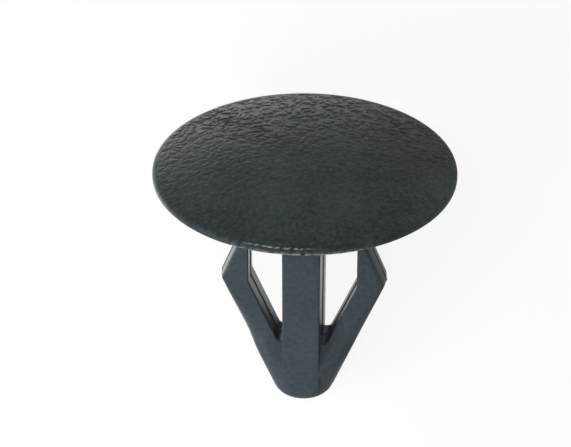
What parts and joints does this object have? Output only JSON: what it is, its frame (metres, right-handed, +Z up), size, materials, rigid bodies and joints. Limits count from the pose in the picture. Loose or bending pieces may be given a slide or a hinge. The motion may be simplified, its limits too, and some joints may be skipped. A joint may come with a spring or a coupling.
{
  "type": "push rivet",
  "caption": "Plastic push rivet with a grained domed head, blade stem and sprung arrowhead arms that snap into a round panel hole and hold trim.",
  "frame": {"origin": "on the table, under the middle of the bounding box of the rivet as it lies on its rim edge and nose", "axes": "+Z up; the rivet's front faces up; its head is toward +Y, rising 26 degrees, and its nose toward -Y; the arms spread along X"},
  "size_m": [0.018, 0.0184, 0.0163],
  "materials": {
    "moulded_plastic": "dark blue-grey moulded plastic, leather grain on the head, smooth matte shank"
  },
  "bodies": {
    "root": {"push_rivet": "moulded_plastic"}
  },
  "joints": []
}
